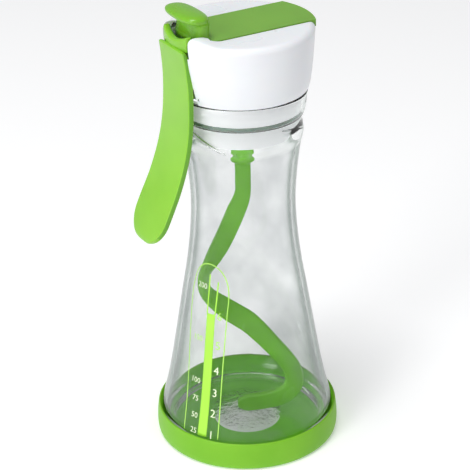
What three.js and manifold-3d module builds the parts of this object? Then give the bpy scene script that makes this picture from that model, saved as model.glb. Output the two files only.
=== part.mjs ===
// Salad dressing shaker: a flared clear bottle in a soft base boot, and a screw-in head
// whose side trigger turns an S-shaped stirrer through a rack and gears, with a rocking
// pour lever on top. Millimetres, +Z up. The bottle stands on Z = 0.

import * as THREE from 'three';
import { mergeVertices } from 'three/addons/utils/BufferGeometryUtils.js';
import Module from 'manifold-3d';

const wasm = await Module();
wasm.setup();

const PI = Math.PI;
const rad = (degrees) => degrees * PI / 180;

// Clearances
const gap = 0.3;            // between pieces that touch or rest on each other
const slideGap = 0.4;       // between pieces that move past each other

// Boot
const bootFloor = 1.6;
const bootWall = 1.7;
const bootLip = 1.1;
const bootHeight = 12.6;
const bootHoleR = 11.8;

// Bottle: outer radius at each height above its own foot
const bottleHeelR = 37.7;
const bottleFootR = bottleHeelR - 1.5;
const bottleHeelZ = 7;
const bottleWall = 2.2;
const bottleFloor = 5.2;
const bottlePushUp = 1.4;
const waistR = 22.0;
const waistZ = 111;
const neckBoreR = 22.7;
const cupBoreR = neckBoreR + 2.3;
const beadR = neckBoreR + 2.9;
const beadZ = 142;
const grooveR = neckBoreR + 2.1;
const grooveZ = 147;
const cupR = cupBoreR + 1.4;
const cupZ = 151;
const rimR = cupBoreR + 2.4;
const rimZ = 160.7;

// Head shell
const headBottomZ = 161.3;
const headTopZ = 187.2;
const headBottomR = rimR + 0.2;
const headMidR = headBottomR + 1.4;
const headTopR = headBottomR + 2.5;
const headFillet = 2.6;
const headWall = 2.0;
const ceilingThick = 2.2;

// Pour lever
const stripHalf = 13;
const stripThick = 3.0;
const stripProud = 0.5;
const leverPivotX = -12;
const leverPivotDrop = 6.7;       // below the strip's top
const leverTilt = rad(12);
const leverPinR = 1.25;
const lugHalf = 4;
const lugLength = 7;
const springPlace = [-17, -7];
const stripFarR = headTopR + 0.5;
const stemHalf = 10.6;
const rearHalf = 11;
const padRise = 12.6;             // above the head's top
const padTopZ = headTopZ + padRise;
const padThick = 3.0;
const padHalfX = 5.6;
const padHalfY = 11.5;
const trayThick = 1.4;

// Spout
const spoutX = 17.5;
const spoutBoreR = 4.5;
const spoutWall = 1.6;
const sealDepth = 3.4;

// Trigger
const triggerPivotX = 5.1 - headTopR;
const triggerPivotZ = 164.2;
const triggerPinR = 1.25;
const triggerPinHalf = 12;
const triggerDepth = 3.2;
const triggerWall = 1.7;
const triggerTopZ = 183.4;
const triggerHalfTop = 10.0;
const triggerHalfLow = 12.0;
const triggerRim = 1.7;
const slotHalf = 10.5;
const hubR = 2.5;
const armY = [1.8, 4.8];
const armPinR = 1.2;
const armPinX = triggerPivotX + 3;
const armPinZ = 176.2;
const stemRearX = triggerPivotX - 0.4;
const stemFrontX = triggerPivotX + 6;
const stripRearX = triggerPivotX + 5.6;   // behind this the strip narrows to its tail
const padX = triggerPivotX - 2;

// Collar
const collarTopZ = 190.2;
const collarHalf = 9.4;
const collarThick = 2.9;
const collarR = headTopR + 0.9;

// Neck plug
const plugTopZ = 161.0;
const plugFloor = 2.2;
const plugUpperR = cupBoreR - 0.4;
const plugSkirtR = neckBoreR - 0.7;
const plugSkirtBottomZ = 142;
const plugWall = 1.8;
const bossR = 4.4;
const bossBottomZ = 132;
const shaftR = 2.0;
const shaftClear = 0.1;
const sealRingHeight = 1.4;

// Gear train
const gearModule = 0.8;
const pressure = rad(25);
const pinionTeeth = 10;
const wheelTeeth = 24;
const addendum = 0.8;
const dedendum = 1.2;
const backlash = 0.25;
const compoundX = -5;
const wheelZ = [163.5, 167.5];
const rackZ = [169, 173];
const rackBack = 2.6;
const rackTeeth = [-11.5, 4.5];
const rackEndX = 9;
const axleR = 1.5;
const bridgeZ = [174.6, 176.6];
const postR = 2.4;
const postPlaces = [[8.5, 17], [-18.5, 12], [-9, -7]];

// Stirrer
const hubFlangeR = 4.9;
const hubFlangeZ = [126, 129];
const hubStubR = 2.2;
const stirrerWidth = 8;
const stirrerThick = 3;
const stirrerAngle = rad(-29.7);

// Colours
const clear = { color: 0xdfeee6, roughness: 0.05, metalness: 0, transparent: true, opacity: 0.35 };
const green = { color: 0x6fc413, roughness: 0.35, metalness: 0 };
const softGreen = { color: 0x5bb512, roughness: 0.5, metalness: 0 };
const white = { color: 0xf2f4f6, roughness: 0.35, metalness: 0 };
const silicone = { color: 0xd9dde0, roughness: 0.6, metalness: 0 };
const acetal = { color: 0xe8e6dc, roughness: 0.45, metalness: 0 };
const steel = { color: 0xb9bcc0, roughness: 0.3, metalness: 1 };

// Worked-out places
const bottleZ = bootFloor + gap;
const floorZ = bottleZ + bottleFloor;
const stripTopZ = headTopZ + stripProud;
const stripUnderZ = stripTopZ - stripThick;
const trayTopZ = stripUnderZ - gap;
const leverPivotZ = stripTopZ - leverPivotDrop;
const springFloorZ = leverPivotZ - 2.6;
const ceilingZ = headTopZ - ceilingThick;
const shellRearX = triggerPivotX + 0.6;

// How far the strip's shoulders swing back as the lever is pressed
const shoulderSwing = leverPivotDrop * Math.sin(leverTilt) + 0.2;

// Height of the pressed lever's underside, less the resting gap, behind its pivot
function dippedZ(x) {
  const rise = stripUnderZ - leverPivotZ;
  const top = leverPivotZ + rise * Math.cos(leverTilt);
  return top + (x - leverPivotX + rise * Math.sin(leverTilt)) * Math.tan(leverTilt) - gap;
}
const pitchR = (teeth) => gearModule * teeth / 2;
const centreDistance = pitchR(wheelTeeth) + pitchR(pinionTeeth);
const compoundY = Math.sqrt(centreDistance ** 2 - compoundX ** 2);
const rackPitchY = compoundY - pitchR(pinionTeeth);
const sealRingZ = cupZ - 0.4 + gap;

// Solids as closed meshes
function toSolid(geometry) {
  const bare = geometry.clone();
  bare.deleteAttribute('normal');
  bare.deleteAttribute('uv');
  const merged = mergeVertices(bare, 1e-4);
  const mesh = new wasm.Mesh({
    numProp: 3,
    vertProperties: new Float32Array(merged.attributes.position.array),
    triVerts: new Uint32Array(merged.index.array),
  });
  return new wasm.Manifold(mesh);
}

function toGeometry(solid) {
  const mesh = solid.getMesh();
  const geometry = new THREE.BufferGeometry();
  geometry.setAttribute('position', new THREE.BufferAttribute(new Float32Array(mesh.vertProperties), 3));
  geometry.setIndex(new THREE.BufferAttribute(new Uint32Array(mesh.triVerts), 1));
  geometry.computeVertexNormals();
  return geometry;
}

const join = (first, ...others) => others.reduce((sum, next) => sum.add(next), first);
const cut = (first, ...others) => others.reduce((sum, next) => sum.subtract(next), first);

function box(x, y, z) {
  const geometry = new THREE.BoxGeometry(x[1] - x[0], y[1] - y[0], z[1] - z[0]);
  return toSolid(geometry.translate((x[0] + x[1]) / 2, (y[0] + y[1]) / 2, (z[0] + z[1]) / 2));
}

function rod(radius, z, place = [0, 0], sides = 24) {
  const geometry = new THREE.CylinderGeometry(radius, radius, z[1] - z[0], sides);
  return toSolid(geometry.rotateX(PI / 2).translate(place[0], place[1], (z[0] + z[1]) / 2));
}

function crossRod(radius, y, place, sides = 20) {
  const geometry = new THREE.CylinderGeometry(radius, radius, y[1] - y[0], sides);
  return toSolid(geometry.translate(place[0], (y[0] + y[1]) / 2, place[1]));
}

// A revolve about Z of a profile of [radius, height] points
function revolve(profile, sides = 40) {
  const points = profile.map(([r, z]) => new THREE.Vector2(r, z));
  if (profile[0][0] > 0 && profile[profile.length - 1][0] > 0) points.push(points[0].clone());
  return toSolid(outward(new THREE.LatheGeometry(points, sides).rotateX(PI / 2)));
}

// Turns a closed mesh's faces outwards if its volume comes out negative
function outward(geometry) {
  const bare = mergeVertices(stripped(geometry), 1e-4);
  const p = bare.attributes.position;
  const index = bare.index.array;
  let volume = 0;
  const a = new THREE.Vector3();
  const b = new THREE.Vector3();
  const c = new THREE.Vector3();
  for (let i = 0; i < index.length; i += 3) {
    a.fromBufferAttribute(p, index[i]);
    b.fromBufferAttribute(p, index[i + 1]);
    c.fromBufferAttribute(p, index[i + 2]);
    volume += a.dot(b.cross(c));
  }
  if (volume < 0) index.reverse();
  return bare;
}

function stripped(geometry) {
  const bare = geometry.clone();
  bare.deleteAttribute('normal');
  bare.deleteAttribute('uv');
  return bare;
}

// A prism of a plan outline between two heights
function prism(outline, z) {
  const shape = outline instanceof THREE.Shape ? outline
    : new THREE.Shape(outline.map(([x, y]) => new THREE.Vector2(x, y)));
  const geometry = new THREE.ExtrudeGeometry(shape, { depth: z[1] - z[0], bevelEnabled: false, curveSegments: 10 });
  return toSolid(geometry.translate(0, 0, z[0]));
}

// A prism of an outline in the X-Z plane between two values of Y
function sidePrism(outline, y) {
  const shape = new THREE.Shape(outline.map(([x, z]) => new THREE.Vector2(x, z)));
  const geometry = new THREE.ExtrudeGeometry(shape, { depth: y[1] - y[0], bevelEnabled: false });
  return toSolid(geometry.rotateX(PI / 2).translate(0, y[1], 0));
}

// A skin over rings of equally many points, closed by a fan at each end
function loft(rings) {
  const count = rings[0].length;
  const vertices = rings.flat().map((p) => [p.x, p.y, p.z]);
  const index = [];
  for (let i = 0; i + 1 < rings.length; i += 1) {
    for (let j = 0; j < count; j += 1) {
      const a = i * count + j;
      const b = i * count + (j + 1) % count;
      index.push(a, b, b + count, a, b + count, a + count);
    }
  }
  for (const [start, flip] of [[0, true], [(rings.length - 1) * count, false]]) {
    const middle = vertices.length;
    const centre = rings[start / count].reduce((sum, p) => sum.add(p), new THREE.Vector3());
    centre.divideScalar(count);
    vertices.push([centre.x, centre.y, centre.z]);
    for (let j = 0; j < count; j += 1) {
      const a = start + j;
      const b = start + (j + 1) % count;
      index.push(...(flip ? [middle, b, a] : [middle, a, b]));
    }
  }
  const geometry = new THREE.BufferGeometry();
  geometry.setAttribute('position', new THREE.BufferAttribute(new Float32Array(vertices.flat()), 3));
  geometry.setIndex(index);
  return toSolid(outward(geometry));
}

// A rounded rectangle's plan outline
function roundedPlan(x, y, r) {
  const shape = new THREE.Shape();
  shape.moveTo(x[0] + r, y[0]);
  shape.lineTo(x[1] - r, y[0]);
  shape.absarc(x[1] - r, y[0] + r, r, -PI / 2, 0, false);
  shape.lineTo(x[1], y[1] - r);
  shape.absarc(x[1] - r, y[1] - r, r, 0, PI / 2, false);
  shape.lineTo(x[0] + r, y[1]);
  shape.absarc(x[0] + r, y[1] - r, r, PI / 2, PI, false);
  shape.lineTo(x[0], y[0] + r);
  shape.absarc(x[0] + r, y[0] + r, r, PI, PI * 1.5, false);
  return shape;
}

// Points on an arc of the X-Z or radius-height plane, from one angle to another
function arc(centre, radius, from, to, steps) {
  return Array.from({ length: steps + 1 }, (_, i) => {
    const t = rad(from + (to - from) * i / steps);
    return [centre[0] + radius * Math.cos(t), centre[1] + radius * Math.sin(t)];
  });
}

function spline(points, steps) {
  const curve = new THREE.SplineCurve(points.map(([x, y]) => new THREE.Vector2(x, y)));
  return curve.getPoints(steps).map((p) => [p.x, p.y]);
}

// Outer curve of the bottle from heel to bead
const bottleSide = [
  [bottleHeelR, bottleZ + bottleHeelZ], [bottleHeelR - 0.3, 12.7], [bottleHeelR - 3.1, 24.1],
  [bottleHeelR - 5.5, 36.2], [waistR + 7.5, 52.1], [waistR + 4.9, 67.7], [waistR + 2.3, 83.1],
  [waistR + 0.6, 97.8], [waistR, waistZ], [waistR + 0.7, 123.7], [beadR - 1.6, 134.6],
];

function bottle() {
  const side = spline(bottleSide, 15);
  const outer = [
    [bottleFootR, bottleZ], [bottleHeelR - 0.3, bottleZ + 2.2], ...side, [beadR - 0.4, beadZ - 2.4],
    [beadR, beadZ], [beadR - 0.2, beadZ + 2], [grooveR, grooveZ], [cupR - 0.5, cupZ - 1],
    [cupR, cupZ], [rimR - 0.4, cupZ + 5], [rimR, rimZ - 0.6], [rimR - 0.6, rimZ],
  ];
  const inner = side.map(([r, z]) => [r - bottleWall, z]).filter(([, z]) => z > floorZ + 4).reverse();
  const profile = [
    [bottleFootR - 4, bottleZ], ...outer, [cupBoreR, rimZ], [cupBoreR, cupZ - 0.4],
    [neckBoreR, cupZ - 0.4], [neckBoreR, beadZ - 3], ...inner,
    [bottleHeelR - bottleWall - 0.6, floorZ + 2], [bottleHeelR - bottleWall - 3.5, floorZ],
    [0, floorZ], [0, bottleZ + bottlePushUp], [bottleFootR - 8, bottleZ + bottlePushUp],
  ];
  return revolve(profile, 32);
}

function baseBoot() {
  const innerR = bottleHeelR + gap;
  const outerR = innerR + bootWall;
  const profile = [
    [bootHoleR, 0], [outerR - 1.9, 0], ...arc([outerR - 1.9, 1.9], 1.9, -60, 0, 3).slice(0, 3),
    [outerR, 4.5], [outerR - 0.2, 8], [innerR + bootLip, bootHeight - 0.5],
    [innerR + bootLip - 0.5, bootHeight], [innerR + 0.1, bootHeight],
    [innerR, bootHeight - 0.6], [innerR, bootFloor + 3], [bottleFootR + gap + 0.4, bootFloor],
    [bootHoleR, bootFloor],
  ];
  return revolve(profile, 44);
}

// Outer curve of the head from its bottom edge to its top plane
function headProfile() {
  const side = spline([[headBottomR, headBottomZ], [headBottomR + 0.7, 164],
    [headMidR, 170], [headMidR + 0.6, 177],
    [headTopR, headTopZ - headFillet]], 8);
  const top = arc([headTopR - headFillet, headTopZ - headFillet], headFillet, 15, 90, 5);
  return [...side, ...top];
}

function headShell() {
  const outerLine = headProfile();
  const outer = revolve([[0, headBottomZ], ...outerLine, [0, headTopZ]], 40);
  const innerLine = outerLine.filter(([, z]) => z < ceilingZ - 2).map(([r, z]) => [r - headWall, z]);
  const lastR = innerLine[innerLine.length - 1][0];
  const hollow = revolve([[0, headBottomZ - 1], [innerLine[0][0], headBottomZ - 1], ...innerLine,
    [lastR, ceilingZ - 1.4], [lastR - 1.4, ceilingZ], [0, ceilingZ]], 40);
  const frontEdge = leverPivotX - 0.6;
  const trayY = [-stripHalf - 2, stripHalf + 2];
  const rearLow = dippedZ(shellRearX) - trayThick;
  const tray = join(
    box([frontEdge, headTopR], trayY, [trayTopZ - trayThick, ceilingZ + 0.1]),
    sidePrism([[shellRearX, rearLow], [frontEdge + 0.1, trayTopZ - trayThick],
      [frontEdge + 0.1, ceilingZ + 0.1], [shellRearX, ceilingZ + 0.1]], trayY),
  );
  const spoutTube = rod(spoutBoreR + spoutWall, [plugTopZ + gap, trayTopZ - 0.1], [spoutX, 0]);
  const cheekX = [triggerPivotX - 3, triggerPivotX + 3.4];
  const cheek = (side) => box(cheekX, side > 0 ? [slotHalf, 13.6] : [-13.6, -slotHalf],
    [headBottomZ, triggerPivotZ + 3.4]);
  const pinBoss = (side) => box([leverPivotX - 2.6, leverPivotX + 2.6],
    side > 0 ? [lugHalf + slideGap + 0.6, 8.6] : [-8.6, -lugHalf - slideGap - 0.6],
    [leverPivotZ - 2.2, trayTopZ - 0.2]);
  const springCup = rod(3.6, [springFloorZ - 1.2, trayTopZ - 1.6], springPlace);
  const fittings = join(tray, spoutTube, cheek(1), cheek(-1), pinBoss(1), pinBoss(-1), springCup)
    .intersect(outer);
  let shell = join(cut(outer, hollow), fittings);
  const channelY = [-stripHalf - gap, stripHalf + gap];
  const slope = (from, to, y) => sidePrism([[from, dippedZ(from)], [to, dippedZ(to)],
    [to, headTopZ + 5], [from, headTopZ + 5]], y);
  shell = cut(
    shell,
    box([frontEdge, 40], channelY, [trayTopZ, headTopZ + 5]),
    slope(stripRearX - shoulderSwing, frontEdge + 0.01, channelY),
    slope(-34, stripRearX, [-rearHalf - slideGap, rearHalf + slideGap]),
    box([-40, shellRearX], [-slotHalf, slotHalf], [headBottomZ - 2, headTopZ + 5]),
    box([leverPivotX - lugLength / 2 - 1.1, leverPivotX + lugLength / 2 + 1.1],
      [-lugHalf - slideGap, lugHalf + slideGap], [leverPivotZ - 6, headTopZ]),
    rod(spoutBoreR, [headBottomZ - 2, headTopZ], [spoutX, 0]),
    crossRod(leverPinR + 0.1, [-8.1, 8.1], [leverPivotX, leverPivotZ]),
    crossRod(triggerPinR + 0.1, [-triggerPinHalf - 0.2, triggerPinHalf + 0.2], [triggerPivotX, triggerPivotZ]),
    rod(2.8, [springFloorZ, trayTopZ], springPlace),
  );
  return shell;
}

function neckPlug() {
  const innerR = plugSkirtR - plugWall;
  const ceiling = plugTopZ - plugFloor;
  const ledge = sealRingZ + sealRingHeight + gap;
  const profile = [
    [0, bossBottomZ], [bossR, bossBottomZ], [bossR + 0.8, ceiling], [innerR, ceiling],
    [innerR, plugSkirtBottomZ], [plugSkirtR, plugSkirtBottomZ], [plugSkirtR, ledge],
    [plugUpperR, ledge], [plugUpperR, plugTopZ], [0, plugTopZ],
  ];
  const body = revolve(profile, 44);
  const posts = postPlaces.map((place) => rod(postR, [plugTopZ - 0.5, bridgeZ[0] - 0.05], place, 16));
  const axleSeat = rod(axleR + 1.3, [plugTopZ - 0.5, wheelZ[0] - slideGap], [compoundX, compoundY], 16);
  const guideY = [rackPitchY - gearModule * dedendum - rackBack - slideGap - 1.5, rackPitchY + 1.6];
  const guides = join(
    box([rackEndX - 2.2, rackEndX + 0.8], guideY, [plugTopZ - 0.5, rackZ[0] - gap]),
    box([rackEndX - 2.2, rackEndX + 0.8], [guideY[0], guideY[0] + 1.5], [rackZ[0] - gap - 0.1, rackZ[1]]),
    box([-19.6, -17.4], [guideY[0], rackPitchY - 1.2], [plugTopZ - 0.5, rackZ[0] - gap]),
    box([-19.6, -17.4], [guideY[0], guideY[0] + 1.5], [rackZ[0] - gap - 0.1, rackZ[1]]),
  );
  return cut(
    join(body, ...posts, axleSeat, guides),
    rod(shaftR + shaftClear, [bossBottomZ - 1, plugTopZ + 1]),
    rod(spoutBoreR, [ceiling - 1, plugTopZ + 1], [spoutX - 0.9, 0]),
    rod(axleR + 0.05, [plugTopZ - 1.2, wheelZ[0]], [compoundX, compoundY]),
    ...postPlaces.map((place) => rod(0.95, [bridgeZ[0] - 7, bridgeZ[0] + 1], place, 12)),
  );
}

function sealRing() {
  const low = sealRingZ;
  const high = low + sealRingHeight;
  return revolve([[plugSkirtR + gap, low], [cupBoreR - gap, low], [cupBoreR - gap, high],
    [plugSkirtR + gap, high]], 40);
}

// A ring of points round a rounded rectangle, half sizes a and b, in the axes u and v
function section(centre, u, v, a, b, corner, steps = 2) {
  const ring = [];
  for (const [su, sv, start] of [[1, 1, 0], [-1, 1, 90], [-1, -1, 180], [1, -1, 270]]) {
    for (let i = 0; i <= steps; i += 1) {
      const t = rad(start + 90 * i / steps);
      const pu = su * (a - corner) + corner * Math.cos(t);
      const pv = sv * (b - corner) + corner * Math.sin(t);
      ring.push(centre.clone().addScaledVector(u, pu).addScaledVector(v, pv));
    }
  }
  return ring;
}

function pourLever() {
  const slab = prism(roundedPlan([stemRearX, 40], [-stripHalf, stripHalf], 0.6), [stripUnderZ, stripTopZ]);
  const round = rod(stripFarR, [stripUnderZ - 1, stripTopZ + 1], [0, 0], 72);
  const rear = join(
    box([stripRearX, 40], [-stripHalf, stripHalf], [stripUnderZ - 1, padTopZ]),
    prism(roundedPlan([stemRearX, 40], [-rearHalf, rearHalf], 5), [stripUnderZ - 1, padTopZ]),
  );
  const strip = slab.intersect(round).intersect(rear);
  const along = new THREE.Vector3(1, 0, 0);
  const across = new THREE.Vector3(0, 1, 0);
  const stem = rear.intersect(loft([0, 0.35, 0.7, 1].map((t) => {
    const lean = 2.2 * t * t;
    const rearX = stemRearX + 1.0 - 0.5 * t;
    const frontX = stemFrontX - lean - 1.5 * Math.sin(PI * t / 2);
    const centre = new THREE.Vector3((rearX + frontX) / 2, 0, stripTopZ - 0.4 + t * (padTopZ - 1.4 - stripTopZ));
    return section(centre, along, across, (frontX - rearX) / 2, stemHalf - 2.4 * t * t, 2.4);
  })));
  const pad = loft([[0, 0.72], [0.25, 0.93], [0.5, 1], [0.75, 0.95], [1, 0.74]].map(([t, k]) => {
    const z = padTopZ - padThick + t * padThick;
    return Array.from({ length: 28 }, (_, i) => {
      const a = 2 * PI * i / 28;
      const flat = 2.6;
      const c = Math.cos(a);
      const s = Math.sin(a);
      const x = Math.sign(c) * Math.abs(c) ** (2 / flat) * (padHalfX - (1 - k) * 2.2);
      const y = Math.sign(s) * Math.abs(s) ** (2 / flat) * (padHalfY - (1 - k) * 2.6);
      return new THREE.Vector3(padX + x, y, z - 0.03 * x);
    });
  }));
  const lug = box([leverPivotX - lugLength / 2, leverPivotX + lugLength / 2], [-lugHalf, lugHalf],
    [leverPivotZ, stripUnderZ + 0.1]);
  const lugRound = crossRod(lugLength / 2, [-lugHalf, lugHalf], [leverPivotX, leverPivotZ]);
  const stud = rod(2.0, [stripUnderZ - 2.2, stripUnderZ + 0.1], [spoutX, 0], 16);
  return cut(join(strip, stem, pad, lug, lugRound, stud),
    crossRod(leverPinR + 0.1, [-lugHalf - 1, lugHalf + 1], [leverPivotX, leverPivotZ]));
}

function spoutSeal() {
  const top = stripUnderZ - gap;
  const profile = [[0, top - sealDepth], [3.5, top - sealDepth], [spoutBoreR - 0.4, top - 0.6],
    [spoutBoreR - 0.4, top], [0, top]];
  return cut(revolve(profile, 24), rod(2.0 + gap, [stripUnderZ - 2.2 - gap, top + 1], [spoutX, 0], 16)
    .translate([-spoutX, 0, 0])).translate([spoutX, 0, 0]);
}

// Centre line of the trigger's outer face from its top edge to its tip, as [x behind the head, z]
const triggerLine = [
  [-1.1, triggerTopZ], [-0.5, 174.5], [-0.3, 166], [-1.0, 152.5], [-3.1, 140.5],
  [-6.9, 128.5], [-11.9, 117], [-16.5, 106.5], [-18.3, 101.5],
].map(([behind, z]) => [behind - headTopR, z]);

function triggerSkin(from, depth, inset, extra) {
  const curve = new THREE.SplineCurve(triggerLine.map(([x, z]) => new THREE.Vector2(x, z)));
  const across = new THREE.Vector3(0, 1, 0);
  const steps = 18;
  const rings = [];
  for (let i = 0; i <= steps; i += 1) {
    const t = from + (1 - 2 * from) * i / steps;
    const p = curve.getPoint(t);
    const tangent = curve.getTangent(t);
    const inward = new THREE.Vector3(-tangent.y, 0, tangent.x);
    const down = Math.max(0, (t - 0.8) / 0.2);
    const round = Math.sqrt(Math.max(0.12, 1 - down ** 2 * 0.88));
    const half = (triggerHalfTop + (triggerHalfLow - triggerHalfTop) * Math.min(1, t / 0.75)) * round - inset;
    const near = depth[0];
    const far = depth[1];
    const centre = new THREE.Vector3(p.x, 0, p.y).addScaledVector(inward, (near + far) / 2);
    rings.push(section(centre, inward, across, (far - near) / 2, Math.max(0.8, half), extra));
  }
  return loft(rings);
}

function trigger() {
  const outer = triggerSkin(0, [0, triggerDepth], 0, 1.1);
  const pocket = triggerSkin(0.045, [triggerWall, triggerDepth + 3], triggerRim, 0.5);
  const hollowHalf = triggerHalfTop - triggerRim;
  const opening = box([triggerPivotX - 4.4, triggerPivotX + 5], [-hollowHalf, hollowHalf], [174, triggerTopZ + 1]);
  const web = (y) => sidePrism([[triggerPivotX - 4.3, triggerPivotZ - 2.4], [triggerPivotX, triggerPivotZ - hubR],
    [triggerPivotX, triggerPivotZ + hubR], [triggerPivotX - 4.2, triggerPivotZ + 5]], y);
  const hub = (y) => crossRod(hubR, y, [triggerPivotX, triggerPivotZ]);
  const tilt = Math.atan2(armPinX - triggerPivotX, armPinZ - triggerPivotZ);
  const c = Math.cos(tilt);
  const s = Math.sin(tilt);
  const armCorner = (along, side) => [triggerPivotX + along * s + side * c, triggerPivotZ + along * c - side * s];
  const armLength = Math.hypot(armPinX - triggerPivotX, armPinZ - triggerPivotZ);
  const arm = sidePrism([armCorner(0, -2.2), armCorner(0, 2.2), armCorner(armLength, 1.7),
    armCorner(armLength, -1.7)], armY);
  const armTip = crossRod(1.7, armY, [armPinX, armPinZ]);
  const crossPin = crossRod(armPinR, [armY[1] - 0.1, armY[1] + 3.4], [armPinX, armPinZ], 16);
  const otherWeb = [-armY[1], -armY[0]];
  return cut(
    join(cut(outer, pocket, opening), web(armY), web(otherWeb), hub(armY), hub(otherWeb), arm, armTip, crossPin),
    crossRod(triggerPinR + 0.1, [-8, 8], [triggerPivotX, triggerPivotZ]),
  );
}

function rearCollar() {
  const band = cut(
    rod(collarR, [triggerTopZ + slideGap, collarTopZ], [0, 0], 72),
    rod(collarR - collarThick, [triggerTopZ, collarTopZ + 1], [0, 0], 72),
  ).intersect(box([-40, -20], [-collarHalf, collarHalf], [triggerTopZ, collarTopZ + 1]));
  const scoop = crossRodX(16, [-40, -20], [0, collarTopZ + 13.6]);
  const tongue = box([triggerPivotX - 3.7, triggerPivotX - 2.5], [-7, 7], [176.5, triggerTopZ + 1.4]);
  const foot = box([triggerPivotX - 3, triggerPivotX + 0.2], [-7, -1], [176.5, 179.6]);
  return join(cut(band, scoop), tongue, foot);
}

function crossRodX(radius, x, place) {
  const geometry = new THREE.CylinderGeometry(radius, radius, x[1] - x[0], 48);
  return toSolid(geometry.rotateZ(PI / 2).translate((x[0] + x[1]) / 2, place[0], place[1]));
}

// A helix about Z with its ends left as cut wire
function coil(radius, wire, z, turns, perTurn = 10, sides = 5) {
  const steps = Math.round(turns * perTurn);
  const rings = [];
  for (let i = 0; i <= steps; i += 1) {
    const a = 2 * PI * turns * i / steps;
    const centre = new THREE.Vector3(radius * Math.cos(a), radius * Math.sin(a),
      z[0] + wire + (z[1] - z[0] - 2 * wire) * i / steps);
    const out = new THREE.Vector3(Math.cos(a), Math.sin(a), 0);
    const up = new THREE.Vector3(0, 0, 1);
    rings.push(Array.from({ length: sides }, (_, k) => {
      const t = 2 * PI * k / sides;
      return centre.clone().addScaledVector(out, wire * Math.cos(t)).addScaledVector(up, wire * Math.sin(t));
    }));
  }
  return loft(rings);
}

function involutePoint(baseR, r) {
  const t = Math.sqrt(Math.max(0, (r / baseR) ** 2 - 1));
  return t - Math.atan(t);
}

// A spur gear's outline with involute flanks, one tooth centred on the given angle
function gearShape(teeth, phase) {
  const pitch = pitchR(teeth);
  const base = pitch * Math.cos(pressure);
  const tip = pitch + addendum * gearModule;
  const root = pitch - dedendum * gearModule;
  const halfAtPitch = PI / (2 * teeth) - backlash / 4 / pitch;
  const flank = (r) => halfAtPitch + involutePoint(base, pitch) - involutePoint(base, Math.max(base, r));
  const radii = [root, Math.max(root, base), (Math.max(root, base) + tip) / 2, tip];
  const outline = [];
  for (let k = 0; k < teeth; k += 1) {
    const centre = phase + 2 * PI * k / teeth;
    for (const r of radii) {
      const a = centre - flank(r);
      outline.push([r * Math.cos(a), r * Math.sin(a)]);
    }
    for (const r of [...radii].reverse()) {
      const a = centre + flank(r);
      outline.push([r * Math.cos(a), r * Math.sin(a)]);
    }
  }
  return outline;
}

// The line from the compound gear to the stirrer shaft
const meshAngle = Math.atan2(-compoundY, -compoundX);

function compoundGear() {
  const wheel = prism(gearShape(wheelTeeth, meshAngle), wheelZ);
  const pinion = prism(gearShape(pinionTeeth, -PI / 2), [wheelZ[1] - 0.1, rackZ[1] + 0.6]);
  return cut(join(wheel, pinion), rod(axleR + 0.1, [wheelZ[0] - 1, rackZ[1] + 2]))
    .translate([compoundX, compoundY, 0]);
}

function compoundAxle() {
  return rod(axleR, [plugTopZ - 1, bridgeZ[1] - 0.3], [compoundX, compoundY], 20);
}

function driveShaft() {
  const half = PI / pinionTeeth;
  const pinion = prism(gearShape(pinionTeeth, meshAngle + PI + half), wheelZ);
  const shaft = rod(shaftR, [bossBottomZ + 4, wheelZ[0] + 0.1], [0, 0], 20);
  const collar = rod(shaftR + 1.2, [plugTopZ + gap, wheelZ[0] + 0.1], [0, 0], 20);
  return join(pinion, shaft, collar);
}

function rack() {
  const tip = addendum * gearModule;
  const rootY = rackPitchY - dedendum * gearModule;
  const backY = rootY - rackBack;
  const pitch = PI * gearModule;
  const halfTooth = pitch / 4 - backlash / 4;
  const slope = Math.tan(pressure);
  const outline = [[armPinX + 2, backY], [rackEndX, backY], [rackEndX, rootY]];
  const first = Math.floor((rackTeeth[1] - compoundX) / pitch);
  const last = Math.ceil((rackTeeth[0] - compoundX) / pitch);
  for (let k = first; k >= last; k -= 1) {
    const x = compoundX + (k + 0.5) * pitch;
    const wide = halfTooth + dedendum * gearModule * slope;
    const thin = halfTooth - tip * slope;
    outline.push([x + wide, rootY], [x + thin, rackPitchY + tip], [x - thin, rackPitchY + tip], [x - wide, rootY]);
  }
  outline.push([armPinX + 2, rootY]);
  const bar = prism(outline, rackZ);
  const riserY = [armY[1] + slideGap, armY[1] + slideGap + 2.4];
  const riser = box([armPinX - 2.4, armPinX + 2.4], riserY, [rackZ[0], armPinZ + 3.0]);
  const foot = box([armPinX - 2.4, armPinX + 4], [Math.min(backY, riserY[0]), rootY], rackZ);
  const slot = box([armPinX - armPinR - 0.12, armPinX + armPinR + 0.12], [0, 12],
    [armPinZ - armPinR - 0.3, armPinZ + armPinR + 0.7]);
  return cut(join(bar, riser, foot), slot);
}

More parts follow.
